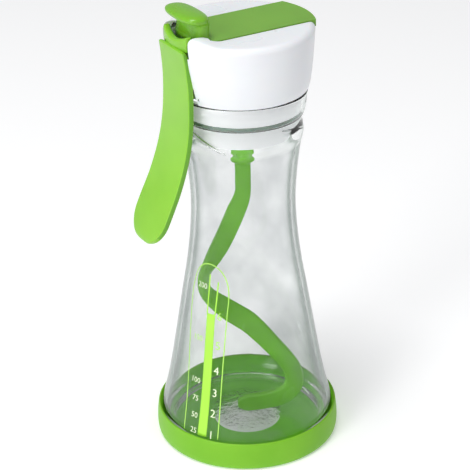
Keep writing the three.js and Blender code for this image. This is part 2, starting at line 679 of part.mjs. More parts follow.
function gearBridge() {
  const places = postPlaces;
  const points = [];
  const centre = [places.reduce((s, p) => s + p[0], 0) / 3, places.reduce((s, p) => s + p[1], 0) / 3];
  const ordered = [...places].sort((a, b) => Math.atan2(a[1] - centre[1], a[0] - centre[0])
    - Math.atan2(b[1] - centre[1], b[0] - centre[0]));
  ordered.forEach((p, i) => {
    const before = ordered[(i + 2) % 3];
    const after = ordered[(i + 1) % 3];
    const inAngle = Math.atan2(p[1] - before[1], p[0] - before[0]) - PI / 2;
    let outAngle = Math.atan2(after[1] - p[1], after[0] - p[0]) - PI / 2;
    if (outAngle < inAngle) outAngle += 2 * PI;
    for (let k = 0; k <= 5; k += 1) {
      const a = inAngle + (outAngle - inAngle) * k / 5;
      points.push([p[0] + postR * Math.cos(a), p[1] + postR * Math.sin(a)]);
    }
  });
  const plate = prism(points, [bridgeZ[0] + gap, bridgeZ[1]]);
  const hub = rod(axleR + 1.4, [bridgeZ[0] - 0.2, bridgeZ[1]], [compoundX, compoundY], 20);
  return cut(
    join(plate, hub),
    rod(axleR + 0.05, [bridgeZ[0] - 1, bridgeZ[1] + 1], [compoundX, compoundY], 20),
    ...places.map((place) => rod(1.35, [bridgeZ[0] - 1, bridgeZ[1] + 1], place, 16)),
  );
}

// A pan-head screw standing on the bridge
function bridgeScrew() {
  const seat = bridgeZ[1] + gap;
  const profile = [[0, seat - 7], [0.6, seat - 7], [0.85, seat - 6], [0.85, seat], [2.0, seat],
    [2.0, seat + 0.8], [1.2, seat + 1.3], [0, seat + 1.3]];
  return cut(revolve(profile, 16), box([-1.4, 1.4], [-0.25, 0.25], [seat + 0.7, seat + 2]),
    box([-0.25, 0.25], [-1.4, 1.4], [seat + 0.7, seat + 2]));
}

function triggerSpring() {
  const wire = 0.4;
  const body = toSolid(toGeometry(coil(triggerPinR + wire + 0.35, wire, [-1.5, 1.5], 3))
    .rotateX(PI / 2).translate(triggerPivotX, 0, triggerPivotZ));
  return body;
}

// Centre line of the stirrer in its own plane, as [across, height] from the hub down
const stirrerLine = [
  [0, hubFlangeZ[0] + 0.5], [0, 119], [-0.4, 112], [-3.4, 104], [-8.4, 92], [-13.2, 82], [-16.6, 73],
  [-15.6, 65], [-8, 57.5], [2, 50], [12, 38.5], [19.4, 28.5], [20.8, 20.5], [16.5, 14.6], [7, 12.3],
  [-4, 12.0],
];

function stirrer() {
  const curve = new THREE.SplineCurve(stirrerLine.map(([s, z]) => new THREE.Vector2(s, z)));
  const plane = new THREE.Vector3(Math.cos(stirrerAngle), Math.sin(stirrerAngle), 0);
  const across = new THREE.Vector3(-Math.sin(stirrerAngle), Math.cos(stirrerAngle), 0);
  const steps = 38;
  const rings = [];
  for (let i = 0; i <= steps; i += 1) {
    const t = i / steps;
    const p = curve.getPoint(t);
    const tangent = curve.getTangent(t);
    const centre = plane.clone().multiplyScalar(p.x).setZ(p.y);
    const normal = plane.clone().multiplyScalar(-tangent.y).setZ(tangent.x);
    const turn = stirrerTwist(t);
    const wide = normal.clone().multiplyScalar(Math.cos(turn)).addScaledVector(across, Math.sin(turn));
    const thin = normal.clone().multiplyScalar(-Math.sin(turn)).addScaledVector(across, Math.cos(turn));
    rings.push(section(centre, wide, thin, stirrerWidth / 2 * (t < 0.12 ? 0.82 : 1) * (t > 0.97 ? 0.7 : 1),
      stirrerThick / 2, 0.9));
  }
  const flange = rod(hubFlangeR, hubFlangeZ, [0, 0], 28);
  const stub = rod(hubStubR, [hubFlangeZ[1] - 0.1, bossBottomZ - gap], [0, 0], 20);
  const peg = rod(shaftR - 0.2, [bossBottomZ - 0.5, bossBottomZ + 4 - gap], [0, 0], 20);
  return join(loft(rings), flange, stub, peg);
}

// The ribbon faces the wave plane, and turns edge-on round the upper bend
function stirrerTwist(t) {
  return rad(70) * Math.exp(-(((t - 0.42) / 0.12) ** 2));
}

// Assembly
const assembly = new THREE.Group();
assembly.name = 'salad_dressing_shaker';

function add(name, solid, look, position = [0, 0, 0]) {
  const mesh = new THREE.Mesh(toGeometry(solid), new THREE.MeshStandardMaterial(look));
  mesh.name = name;
  mesh.position.set(...position);
  assembly.add(mesh);
}

add('bottle', bottle(), clear);
add('base_boot', baseBoot(), softGreen);
add('head_shell', headShell(), white);
add('neck_plug', neckPlug(), white);
add('seal_ring', sealRing(), silicone);
add('pour_lever', pourLever(), green);
add('spout_seal', spoutSeal(), silicone);
add('lever_pin', crossRod(leverPinR, [-7.9, 7.9], [leverPivotX, leverPivotZ]), steel);
add('lever_spring', coil(2.2, 0.35, [springFloorZ + gap, stripUnderZ - gap], 3.5), steel, [...springPlace, 0]);
add('rear_collar', rearCollar(), green);
add('trigger', trigger(), green);
add('trigger_pin', crossRod(triggerPinR, [-triggerPinHalf, triggerPinHalf], [triggerPivotX, triggerPivotZ]), steel);
add('trigger_spring', triggerSpring(), steel);
add('rack', rack(), acetal);
add('gear_bridge', gearBridge(), acetal);
add('compound_gear', compoundGear(), acetal);
add('compound_axle', compoundAxle(), steel);
add('drive_shaft', driveShaft(), acetal);
add('stirrer', stirrer(), green);
postPlaces.forEach((place, i) => add(`bridge_screw_${i + 1}`, bridgeScrew(), steel, [...place, 0]));

// The origin is under the middle of the part's plan
const reach = new THREE.Box3().setFromObject(assembly);
assembly.position.x = -(reach.min.x + reach.max.x) / 2;

const part = new THREE.Group();
part.add(assembly);
export default part;
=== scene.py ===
import math

import bmesh
import bpy
import numpy as np
from mathutils import Matrix, Vector


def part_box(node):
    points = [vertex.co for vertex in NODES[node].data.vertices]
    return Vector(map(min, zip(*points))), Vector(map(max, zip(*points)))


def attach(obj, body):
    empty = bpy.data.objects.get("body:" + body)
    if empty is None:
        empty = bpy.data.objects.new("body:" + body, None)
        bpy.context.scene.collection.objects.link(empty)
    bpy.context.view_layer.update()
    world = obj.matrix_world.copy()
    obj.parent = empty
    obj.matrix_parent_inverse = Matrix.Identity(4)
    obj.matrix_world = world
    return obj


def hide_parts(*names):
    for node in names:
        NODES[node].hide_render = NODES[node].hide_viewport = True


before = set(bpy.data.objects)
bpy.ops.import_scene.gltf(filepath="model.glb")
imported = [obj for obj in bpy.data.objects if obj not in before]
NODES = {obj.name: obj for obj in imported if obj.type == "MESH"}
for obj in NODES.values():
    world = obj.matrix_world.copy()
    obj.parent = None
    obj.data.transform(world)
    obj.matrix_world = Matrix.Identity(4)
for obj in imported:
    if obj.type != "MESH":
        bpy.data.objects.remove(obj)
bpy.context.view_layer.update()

# Salad dressing shaker: the finish of every surface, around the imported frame. Shapes are
# worked out in millimetres about the bottle's axis, and put into meshes in metres.

MM = 0.001


def box_mm(node):
    """A node's lowest and highest corners in millimetres."""
    low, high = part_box(node)
    return np.array(low) / MM, np.array(high) / MM


BOTTLE_LOW, BOTTLE_HIGH = box_mm("bottle")
BOOT_LOW, BOOT_HIGH = box_mm("base_boot")
AXIS_X = (BOTTLE_LOW[0] + BOTTLE_HIGH[0]) / 2

# Camera, as the photograph has it: its place about the bottle's axis and its aim
VIEW_TURN = math.radians(29.7)
CAMERA_BACK = 673.2
CAMERA_HIGH = 432.5
CAMERA_PITCH = math.radians(26.87)
CAMERA_ROLL = 0.019
FOCAL_PIXELS = 1781.7
IMAGE_PIXELS = 470
AIM_PIXELS = (9.0, 2.7)
SENSOR_MM = 36.0

# Camera's direction seen from the bottle's axis, the zero of the printed scale's angles
NEAR_ANGLE = -math.pi / 2 - VIEW_TURN


# Curves and surfaces

def smooth_line(points, count):
    """Catmull-Rom curve through 2-D points, with count samples evenly spread along it."""
    p = np.asarray(points, float)
    p = np.vstack([2 * p[0] - p[1], p, 2 * p[-1] - p[-2]])
    spans = len(p) - 3
    u = np.linspace(0, spans, 40 * spans + 1)
    i = np.minimum(u.astype(int), spans - 1)
    t = (u - i)[:, None]
    a, b, c, d = p[i], p[i + 1], p[i + 2], p[i + 3]
    fine = 0.5 * (2 * b + (c - a) * t + (2 * a - 5 * b + 4 * c - d) * t**2
                  + (3 * b - a - 3 * c + d) * t**3)
    far = np.concatenate([[0], np.cumsum(np.linalg.norm(np.diff(fine, axis=0), axis=1))])
    s = np.linspace(0, far[-1], count)
    return np.column_stack([np.interp(s, far, fine[:, k]) for k in range(fine.shape[1])])


def round_corners(points, radius, steps=4):
    """A closed outline with each corner cut by a short quadratic bend of at most the given reach."""
    p = np.asarray(points, float)
    before, after = np.roll(p, 1, axis=0) - p, np.roll(p, -1, axis=0) - p
    back, ahead = np.linalg.norm(before, axis=1), np.linalg.norm(after, axis=1)
    reach = np.minimum(radius, 0.45 * np.minimum(back, ahead))[:, None]
    start = p + before / back[:, None] * reach
    end = p + after / ahead[:, None] * reach
    t = np.linspace(0, 1, steps + 1)[None, :, None]
    bend = (1 - t) ** 2 * start[:, None] + 2 * t * (1 - t) * p[:, None] + t**2 * end[:, None]
    return bend.reshape(-1, p.shape[1])


def grid_faces(rows, columns, close_rows, close_columns):
    """Quads between neighbouring points of a grid, wrapping round where asked."""
    i = np.arange(rows if close_rows else rows - 1)
    j = np.arange(columns if close_columns else columns - 1)
    i, j = np.meshgrid(i, j, indexing="ij")
    i2, j2 = (i + 1) % rows, (j + 1) % columns
    quads = np.stack([i * columns + j, i * columns + j2, i2 * columns + j2, i2 * columns + j], axis=-1)
    return quads.reshape(-1, 4)


def put_mesh(name, points_mm, faces, smooth=True):
    """A new object from points about the bottle's axis and lists of faces."""
    mesh = bpy.data.meshes.new(name)
    points = (np.asarray(points_mm, float) + [AXIS_X, 0, 0]) * MM
    mesh.from_pydata(points.tolist(), [], [list(map(int, f)) for f in faces])
    mesh.validate()
    if smooth:
        mesh.shade_smooth()
    obj = bpy.data.objects.new(name, mesh)
    bpy.context.scene.collection.objects.link(obj)
    return obj


def volume_sign(points, faces):
    """The sign of a closed mesh's volume, by the sum of a.(b x c) over its quads' halves."""
    p = np.asarray(points, float)
    f = np.asarray(faces)
    total = np.einsum("ij,ij->i", p[f[:, 0]], np.cross(p[f[:, 1]], p[f[:, 2]])).sum()
    total += np.einsum("ij,ij->i", p[f[:, 0]], np.cross(p[f[:, 2]], p[f[:, 3]])).sum()
    return 1 if total >= 0 else -1


def put_grid(name, grid, close_rows=False, close_columns=True, caps=True):
    """A surface over a rows x columns grid of points, its open ends closed by poles."""
    rows, columns = grid.shape[:2]
    points = grid.reshape(-1, 3)
    faces = grid_faces(rows, columns, close_rows, close_columns)
    sign = volume_sign(points, faces)
    if sign < 0:
        faces = faces[:, ::-1]
    faces = faces.tolist()
    if caps and not close_rows:
        points = np.vstack([points, grid[0].mean(0), grid[-1].mean(0)])
        first, last = rows * columns, rows * columns + 1
        for start, middle, flip in ((0, first, sign < 0), ((rows - 1) * columns, last, sign > 0)):
            j = start + np.arange(columns)
            k = start + (np.arange(columns) + 1) % columns
            ring = np.column_stack([k, j, np.full(columns, middle)])
            faces += (ring[:, ::-1] if flip else ring).tolist()
    return put_mesh(name, points, faces)


def put_revolve(name, profile, sides=160):
    """A closed radius-height profile carried round the axis."""
    p = np.asarray(profile, float)
    turn = np.linspace(0, 2 * math.pi, sides, endpoint=False)[None, :]
    grid = np.stack([p[:, :1] * np.cos(turn), p[:, :1] * np.sin(turn), np.repeat(p[:, 1:], sides, 1)], -1)
    return put_grid(name, grid, close_rows=True)


def rounded_section(half_a, half_b, corner, steps=5):
    """The two coordinates of the points round rounded rectangles, counter-clockwise.

    The halves and the corner's radius may be columns, and then each row is one rectangle. A
    quarter's points are its corner's centre plus radius * (cos, sin) of its angle.
    """
    quarter = np.repeat(np.arange(4), steps)
    turn = np.tile(np.radians(np.linspace(0, 90, steps)), 4) + quarter * math.pi / 2
    side_a, side_b = np.array([1, -1, -1, 1])[quarter], np.array([1, 1, -1, -1])[quarter]
    return (side_a * (half_a - corner) + corner * np.cos(turn),
            side_b * (half_b - corner) + corner * np.sin(turn))


def across_line(line):
    """Unit directions square to a 2-D line, its tangents turned a quarter anticlockwise."""
    tangent = np.gradient(line, axis=0)
    tangent /= np.linalg.norm(tangent, axis=1)[:, None]
    return np.column_stack([-tangent[:, 1], tangent[:, 0]])


# Shader building

def new_material(name):
    """A material, its nodes and links, and its Principled shader."""
    material = bpy.data.materials.new(name)
    material.use_nodes = True
    nodes, links = material.node_tree.nodes, material.node_tree.links
    return material, nodes, links, nodes["Principled BSDF"]


def mottle_group():
    """A group that gives slow and fine variation over a piece: a tint mask, roughness and a bump height."""
    group = bpy.data.node_groups.new("surface_mottle", "ShaderNodeTree")
    for label, default in (("Scale", 60.0), ("Fine Scale", 900.0), ("Rough Low", 0.3), ("Rough High", 0.4)):
        socket = group.interface.new_socket(label, in_out="INPUT", socket_type="NodeSocketFloat")
        socket.default_value = default
    for label in ("Mask", "Roughness", "Height"):
        group.interface.new_socket(label, in_out="OUTPUT", socket_type="NodeSocketFloat")
    nodes, links = group.nodes, group.links
    source, sink = nodes.new("NodeGroupInput"), nodes.new("NodeGroupOutput")
    place = nodes.new("ShaderNodeTexCoord")
    slow, fine = nodes.new("ShaderNodeTexNoise"), nodes.new("ShaderNodeTexNoise")
    slow.inputs["Detail"].default_value = 3.0
    fine.inputs["Detail"].default_value = 4.0
    spread = nodes.new("ShaderNodeMapRange")
    spread.inputs["From Min"].default_value = 0.3
    spread.inputs["From Max"].default_value = 0.7
    links.new(place.outputs["Object"], slow.inputs["Vector"])
    links.new(place.outputs["Object"], fine.inputs["Vector"])
    links.new(source.outputs["Scale"], slow.inputs["Scale"])
    links.new(source.outputs["Fine Scale"], fine.inputs["Scale"])
    links.new(slow.outputs["Fac"], spread.inputs["Value"])
    links.new(source.outputs["Rough Low"], spread.inputs["To Min"])
    links.new(source.outputs["Rough High"], spread.inputs["To Max"])
    links.new(slow.outputs["Fac"], sink.inputs["Mask"])
    links.new(spread.outputs["Result"], sink.inputs["Roughness"])
    links.new(fine.outputs["Fac"], sink.inputs["Height"])
    return group


MOTTLE = mottle_group()


def finish(name, dark, light, rough, bump=0.05, scale=45.0, fine=1200.0, distance=0.0001, **constants):
    """A moulded finish: two close tones, roughness between two values and a fine bump.

    scale and fine are the slow and fine noise's, distance the bump's height in metres. The constants
    are the shader's own inputs, with _ for each space.
    """
    material, nodes, links, shader = new_material(name)
    mottle = nodes.new("ShaderNodeGroup")
    mottle.node_tree = MOTTLE
    values = {"Scale": scale, "Fine Scale": fine, "Rough Low": rough[0], "Rough High": rough[1]}
    for label, value in values.items():
        mottle.inputs[label].default_value = value
    tone = nodes.new("ShaderNodeValToRGB")
    tone.color_ramp.elements[0].position = 0.3
    tone.color_ramp.elements[0].color = (*dark, 1)
    tone.color_ramp.elements[1].position = 0.7
    tone.color_ramp.elements[1].color = (*light, 1)
    raise_by = nodes.new("ShaderNodeBump")
    raise_by.inputs["Strength"].default_value = bump
    raise_by.inputs["Distance"].default_value = distance
    links.new(mottle.outputs["Mask"], tone.inputs["Fac"])
    links.new(tone.outputs["Color"], shader.inputs["Base Color"])
    links.new(mottle.outputs["Roughness"], shader.inputs["Roughness"])
    links.new(mottle.outputs["Height"], raise_by.inputs["Height"])
    links.new(raise_by.outputs["Normal"], shader.inputs["Normal"])
    for label, value in constants.items():
        shader.inputs[label.replace("_", " ")].default_value = value
    return material


MATERIALS = {
    # The clear finish's grey mottle is painted reflection, standing in for the mottled reflections in the
    # wall; the plain finish has far less
    "clear": finish(
        "clear_plastic", (0.74, 0.75, 0.755), (0.985, 0.99, 0.985), (0.0, 0.03), bump=0.07,
        scale=42, fine=90, distance=0.0004, Transmission_Weight=1.0, IOR=1.49),
    "clear_plain": finish(
        "clear_plastic_plain", (0.965, 0.98, 0.97), (0.99, 0.995, 0.99), (0.0, 0.03), bump=0.03,
        scale=42, fine=90, distance=0.0004, Transmission_Weight=1.0, IOR=1.49),
    "clear_gate": finish(
        "clear_plastic_gate", (0.93, 0.94, 0.95), (0.99, 0.99, 0.99), (0.08, 0.22), bump=0.7,
        scale=160, fine=420, distance=0.0012, Transmission_Weight=1.0, IOR=1.49),
    # The boot's inside glows: painted light, standing in for light reaching it through the bottle's floor
    "boot_inside_glow": finish(
        "boot_silicone_inside_glow", (0.14, 0.5, 0.006), (0.19, 0.57, 0.012), (0.5, 0.6), bump=0.1,
        fine=2200, Emission_Color=(0.14, 0.55, 0.01, 1.0), Emission_Strength=0.36),
    "boot": finish(
        "boot_silicone", (0.19, 0.5, 0.02), (0.225, 0.55, 0.028), (0.42, 0.52), bump=0.12,
        fine=2200, Subsurface_Weight=0.08, Subsurface_Scale=0.003, Specular_IOR_Level=0.3),
    "white": finish(
        "white_plastic", (0.83, 0.845, 0.875), (0.87, 0.88, 0.9), (0.26, 0.34), bump=0.04,
        Subsurface_Weight=0.08, Subsurface_Scale=0.002),
    "green": finish(
        "green_plastic", (0.225, 0.535, 0.028), (0.26, 0.585, 0.04), (0.27, 0.36), bump=0.05,
        Subsurface_Weight=0.1, Subsurface_Scale=0.003),
    # Darker green for the handle's side faces: painted shade for faces turned away from the key light
    "green_painted_side_shade": finish(
        "green_plastic_painted_side_shade", (0.12, 0.37, 0.012), (0.15, 0.42, 0.018), (0.27, 0.36), bump=0.05,
        Subsurface_Weight=0.05, Subsurface_Scale=0.001),
    "lever": finish(
        "lever_plastic", (0.16, 0.37, 0.035), (0.19, 0.42, 0.05), (0.34, 0.44), bump=0.05,
        Subsurface_Weight=0.1, Subsurface_Scale=0.003, Specular_IOR_Level=0.3),
    "tab": finish(
        "tab_plastic", (0.17, 0.44, 0.018), (0.2, 0.49, 0.026), (0.25, 0.34), bump=0.05,
        Subsurface_Weight=0.08, Subsurface_Scale=0.002),
    "seal": finish(
        "seal_silicone", (0.24, 0.34, 0.28), (0.3, 0.42, 0.34), (0.5, 0.6), bump=0.1,
        Subsurface_Weight=0.2, Subsurface_Scale=0.002),
    "gear": finish(
        "gear_plastic", (0.78, 0.76, 0.7), (0.84, 0.82, 0.77), (0.36, 0.46), bump=0.05),
    "steel": finish(
        "pin_steel", (0.6, 0.61, 0.63), (0.7, 0.71, 0.73), (0.2, 0.32), bump=0.08, fine=2500,
        Metallic=1.0),
    # The plug glows: painted light, keeping it bright behind the glass
    "plug": finish(
        "plug_plastic_glow", (0.93, 0.935, 0.945), (0.96, 0.965, 0.97), (0.3, 0.4), bump=0.04,
        Emission_Color=(0.95, 0.96, 1.0, 1.0), Emission_Strength=0.27),
    # The stirrer glows: painted light, keeping it bright and green behind the glass
    "stirrer": finish(
        "stirrer_plastic_glow", (0.14, 0.5, 0.004), (0.18, 0.57, 0.008), (0.2, 0.3), bump=0.05,
        Emission_Color=(0.15, 0.5, 0.004, 1.0), Emission_Strength=0.22),
    "print": finish("scale_print", (0.4, 0.86, 0.05), (0.46, 0.93, 0.08), (0.4, 0.5), bump=0.03),
    "print_pale": finish("scale_print_pale", (0.42, 0.84, 0.1), (0.5, 0.9, 0.14), (0.4, 0.5), bump=0.03),
    "print_white": finish("scale_print_white", (0.84, 0.97, 0.62), (0.9, 1.0, 0.7), (0.4, 0.5), bump=0.03),
}


def paint_edge_shade(material, stops, shine):
    """Tints a clear material by how it faces the viewer: the ramp's colours from square-on to grazing.

    The darker grazing colours are painted shade, standing in for the dark edges of a clear wall.
    Its reflections take the same tint times shine.
    """
    nodes, links = material.node_tree.nodes, material.node_tree.links
    facing = nodes.new("ShaderNodeLayerWeight")
    facing.inputs["Blend"].default_value = 0.5
    ramp = nodes.new("ShaderNodeValToRGB")
    ramp.color_ramp.elements.remove(ramp.color_ramp.elements[1])
    for i, (position, colour) in enumerate(stops):
        stop = ramp.color_ramp.elements[0] if i == 0 else ramp.color_ramp.elements.new(position)
        stop.position = position
        stop.color = (*colour, 1)
    blend = nodes.new("ShaderNodeMix")
    blend.data_type = "RGBA"
    blend.blend_type = "MULTIPLY"
    blend.inputs["Factor"].default_value = 1.0
    shader = nodes["Principled BSDF"]
    tone = shader.inputs["Base Color"].links[0].from_socket
    links.new(facing.outputs["Facing"], ramp.inputs["Fac"])
    links.new(tone, blend.inputs[6])
    links.new(ramp.outputs["Color"], blend.inputs[7])
    links.new(blend.outputs[2], shader.inputs["Base Color"])
    weaken = nodes.new("ShaderNodeMix")
    weaken.data_type = "RGBA"
    weaken.blend_type = "MULTIPLY"
    weaken.inputs["Factor"].default_value = 1.0
    weaken.inputs[7].default_value = (shine, shine, shine, 1)
    links.new(ramp.outputs["Color"], weaken.inputs[6])
    links.new(weaken.outputs[2], shader.inputs["Specular Tint"])


# Painted edge shade on the two clear finishes, darker towards grazing angles
paint_edge_shade(MATERIALS["clear"], (
    (0.0, (0.98, 0.985, 0.985)), (0.5, (0.93, 0.94, 0.94)), (0.6, (0.7, 0.74, 0.72)),
    (0.72, (0.16, 0.22, 0.18)), (0.9, (0.05, 0.08, 0.06))), 0.45)
paint_edge_shade(MATERIALS["clear_plain"], (
    (0.0, (1, 1, 1)), (0.66, (0.95, 0.97, 0.96)), (0.82, (0.5, 0.58, 0.53)),
    (0.95, (0.15, 0.22, 0.17))), 0.7)


def dress(obj, finish_name, body, *replaced):
    """Gives a piece its material, slot and body, and the nodes that it stands for."""
    obj.data.materials.clear()
    obj.data.materials.append(MATERIALS[finish_name])
    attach(obj, body)
    if replaced:
        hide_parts(*replaced)
    return obj


def second_finish(obj, finish_name, chosen):
    """Gives another finish to the faces whose centre's radius and height, in mm, pass a test."""
    mesh = obj.data
    mesh.materials.append(MATERIALS[finish_name])
    centres = np.empty(3 * len(mesh.polygons))
    mesh.polygons.foreach_get("center", centres)
    x, y, z = centres.reshape(-1, 3).T / MM
    finishes = np.empty(len(mesh.polygons), int)
    mesh.polygons.foreach_get("material_index", finishes)
    finishes[chosen(np.hypot(x - AXIS_X, y), z)] = len(mesh.materials) - 1
    mesh.polygons.foreach_set("material_index", finishes)


def eased_copy(node, name, finish_name, body, bevel=0.35, segments=2):
    """A merged copy of a CAD node, its hard edges eased by a bevel in mm, standing for the node."""
    mesh = NODES[node].data.copy()
    mesh.name = name
    mesh.materials.clear()
    obj = bpy.data.objects.new(name, mesh)
    bpy.context.scene.collection.objects.link(obj)
    work = bmesh.new()
    work.from_mesh(mesh)
    bmesh.ops.remove_doubles(work, verts=work.verts, dist=1e-6)
    bmesh.ops.dissolve_limit(work, angle_limit=math.radians(1.0), verts=work.verts, edges=work.edges)
    work.to_mesh(mesh)
    work.free()
    if bevel:
        ease = obj.modifiers.new("ease", "BEVEL")
        ease.width = bevel * MM
        ease.segments = segments
        ease.limit_method = "ANGLE"
        ease.angle_limit = math.radians(35)
        ease.miter_outer = "MITER_ARC"
    mesh.shade_smooth()
    crisp = obj.modifiers.new("crisp", "WEIGHTED_NORMAL")
    crisp.keep_sharp = True
    mesh.set_sharp_from_angle(angle=math.radians(35))
    return dress(obj, finish_name, body, node)


def move_points(obj, moved):
    """Moves a piece's points by a function of their x, y and z, in mm about the axis."""
    points = np.empty(3 * len(obj.data.vertices))
    obj.data.vertices.foreach_get("co", points)
    x, y, z = points.reshape(-1, 3).T / MM
    x, y, z = moved(x - AXIS_X, y, z)
    obj.data.vertices.foreach_set("co", (np.column_stack([x + AXIS_X, y, z]) * MM).ravel())


def slice_off(obj, place_mm, outward):
    """Cuts a piece at a plane for good, and closes the cut."""
    work = bmesh.new()
    work.from_mesh(obj.data)
    everything = work.verts[:] + work.edges[:] + work.faces[:]
    bmesh.ops.bisect_plane(work, geom=everything, plane_co=[c * MM for c in place_mm], plane_no=outward,
                           clear_outer=True)
    bmesh.ops.holes_fill(work, edges=[e for e in work.edges if e.is_boundary], sides=0)
    work.to_mesh(obj.data)
    work.free()


def cut_away(obj, boxes):
    """Takes boxes, each as x, y and z ranges about the axis, out of a piece for good."""
    for low_high in boxes:
        corners = [(x, y, z) for x in low_high[0] for y in low_high[1] for z in low_high[2]]
        sides = [(0, 1, 3, 2), (4, 6, 7, 5), (0, 4, 5, 1), (2, 3, 7, 6), (0, 2, 6, 4), (1, 5, 7, 3)]
        knife = put_mesh("knife", corners, sides, smooth=False)
        cut = obj.modifiers.new("cut", "BOOLEAN")
        cut.operation = "DIFFERENCE"
        cut.solver = "EXACT"
        cut.object = knife
        bpy.context.view_layer.update()
        done = bpy.data.meshes.new_from_object(obj.evaluated_get(bpy.context.evaluated_depsgraph_get()))
        obj.modifiers.clear()
        obj.data = done
        bpy.data.objects.remove(knife)
    obj.data.shade_smooth()
    obj.data.set_sharp_from_angle(angle=math.radians(30))
    even = obj.modifiers.new("even", "WEIGHTED_NORMAL")
    even.keep_sharp = True


# Bottle

WALL = 2.2
NECK_BORE_R = 22.7
BOTTLE_FOOT_Z = BOTTLE_LOW[2]
RIM_Z = BOTTLE_HIGH[2]
FLOOR_Z = BOTTLE_FOOT_Z + 5.2
HEEL_R = (BOTTLE_HIGH[0] - BOTTLE_LOW[0]) / 2
FOOT_R = 36.2
# Mark of the mould's gate in the middle of the floor
GATE_R = 15
# Above this height the wall is the thick glass of the neck, with little painted reflection mottle and lighter
# painted edge shade
NECK_FOOT_Z = 138
# Outer line from heel to rim: radius, height
SIDE = [
    (HEEL_R, BOTTLE_FOOT_Z + 7), (37.4, 12.7), (34.6, 24.1), (32.2, 36.2), (29.5, 52.1), (26.9, 67.7),
    (24.3, 83.1), (22.6, 97.8), (22.0, 111), (22.7, 123.7), (24.0, 134.6),
]
NECK = [
    (24.0, 134.6), (24.7, 138.2), (25.3, 140.8), (25.4, 142.4), (25.0, 145.2), (24.6, 147.2),
    (25.0, 148.9), (25.9, 150.9), (26.5, 153.5), (26.9, 157), (27.25, 159.6),
]


def bottle_lines():
    """The bottle's outer line from heel to rim, and its inner line from rim down to the floor."""
    side = smooth_line(SIDE, 70)
    neck = smooth_line(NECK, 36)
    outer = np.vstack([side[:-1], neck])
    inner = side[side[:, 1] > FLOOR_Z + 4.5][::-1] - [WALL, 0]
    return outer, inner


OUTER_LINE, INNER_LINE = bottle_lines()


def wall_radius(z):
    """The bottle's outer radius at a height."""
    return np.interp(z, OUTER_LINE[:, 1], OUTER_LINE[:, 0])


def make_bottle():
    """The closed profile carried round the axis: heel, side, rim, cup, inside, floor, underside."""
    heel = [(33.5, BOTTLE_FOOT_Z + 0.1), (35.0, BOTTLE_FOOT_Z), (FOOT_R, BOTTLE_FOOT_Z + 0.2),
            (37.2, BOTTLE_FOOT_Z + 1.4), (HEEL_R - 0.05, BOTTLE_FOOT_Z + 3.4)]
    rim = [(27.3, RIM_Z - 0.5), (26.9, RIM_Z - 0.1), (26.4, RIM_Z), (25.7, RIM_Z - 0.05),
           (25.15, RIM_Z - 0.4)]
    cup = [(25.0, RIM_Z - 1.2), (25.0, 151.4), (24.8, 150.8), (24.2, 150.6), (23.1, 150.6), (22.75, 150.2),
           (NECK_BORE_R, 149.4), (NECK_BORE_R, 140.5), (22.55, 138.8), (22.1, 136.8)]
    floor_r = HEEL_R - WALL
    floor = [(floor_r - 0.15, FLOOR_Z + 3.2), (floor_r - 0.9, FLOOR_Z + 1.4), (floor_r - 2.3, FLOOR_Z + 0.35),
             (floor_r - 4.2, FLOOR_Z), (24, FLOOR_Z), (GATE_R, FLOOR_Z), (13.6, FLOOR_Z - 0.3),
             (6, FLOOR_Z - 0.5), (0.02, FLOOR_Z - 0.5)]
    under = [(0.02, BOTTLE_FOOT_Z + 1.9), (6, BOTTLE_FOOT_Z + 1.9), (13.6, BOTTLE_FOOT_Z + 1.75),
             (GATE_R, BOTTLE_FOOT_Z + 1.6), (24, BOTTLE_FOOT_Z + 1.6),
             (29.5, BOTTLE_FOOT_Z + 1.4), (32, BOTTLE_FOOT_Z + 0.7)]
    profile = np.vstack([heel, OUTER_LINE, rim, cup, INNER_LINE, floor, under])
    piece = put_revolve("bottle_body", profile, 200)
    dress(piece, "clear", "base", "bottle")
    # The neck and the floor's middle take the plain finish, with less painted reflection and painted edge
    # shade
    second_finish(piece, "clear_plain",
                  lambda r, z: (z > NECK_FOOT_Z) | ((z < FLOOR_Z + 2.5) & (r < HEEL_R - 1.5)))
    second_finish(piece, "clear_gate", lambda r, z: (z < FLOOR_Z + 1) & (r < GATE_R - 0.1))
    make_thread()


RAMP_TOP_Z = 148.2
RAMP_FALL = 8.0


def make_thread():
    """Three ramps inside the neck: a rounded ridge carried along a short falling helix.

    With t from 0 to 1 along the ramp its angle grows by 62 degrees, its height is
    RAMP_TOP_Z - RAMP_FALL * t, and the ridge's size is sin(pi t) to the power 0.35.
    """
    t = np.linspace(0, 1, 46)[:, None]
    swell = np.sin(math.pi * t) ** 0.35
    ring = np.linspace(0, 2 * math.pi, 10, endpoint=False)[None, :]
    radius = NECK_BORE_R + 0.15 - 0.65 * swell * (0.5 - 0.5 * np.cos(ring))
    z = RAMP_TOP_Z - RAMP_FALL * t + 0.75 * swell * np.sin(ring)
    for start in range(3):
        angle = NEAR_ANGLE + math.radians(-78 + 120 * start) + t * math.radians(62)
        grid = np.stack([radius * np.cos(angle), radius * np.sin(angle), z + 0 * ring], -1)
        dress(put_grid(f"neck_thread_{start + 1}", grid), "clear_plain", "base")


# Boot

# Hole in the boot's floor, seen through the bottle
BOOT_HOLE_R = 15.0


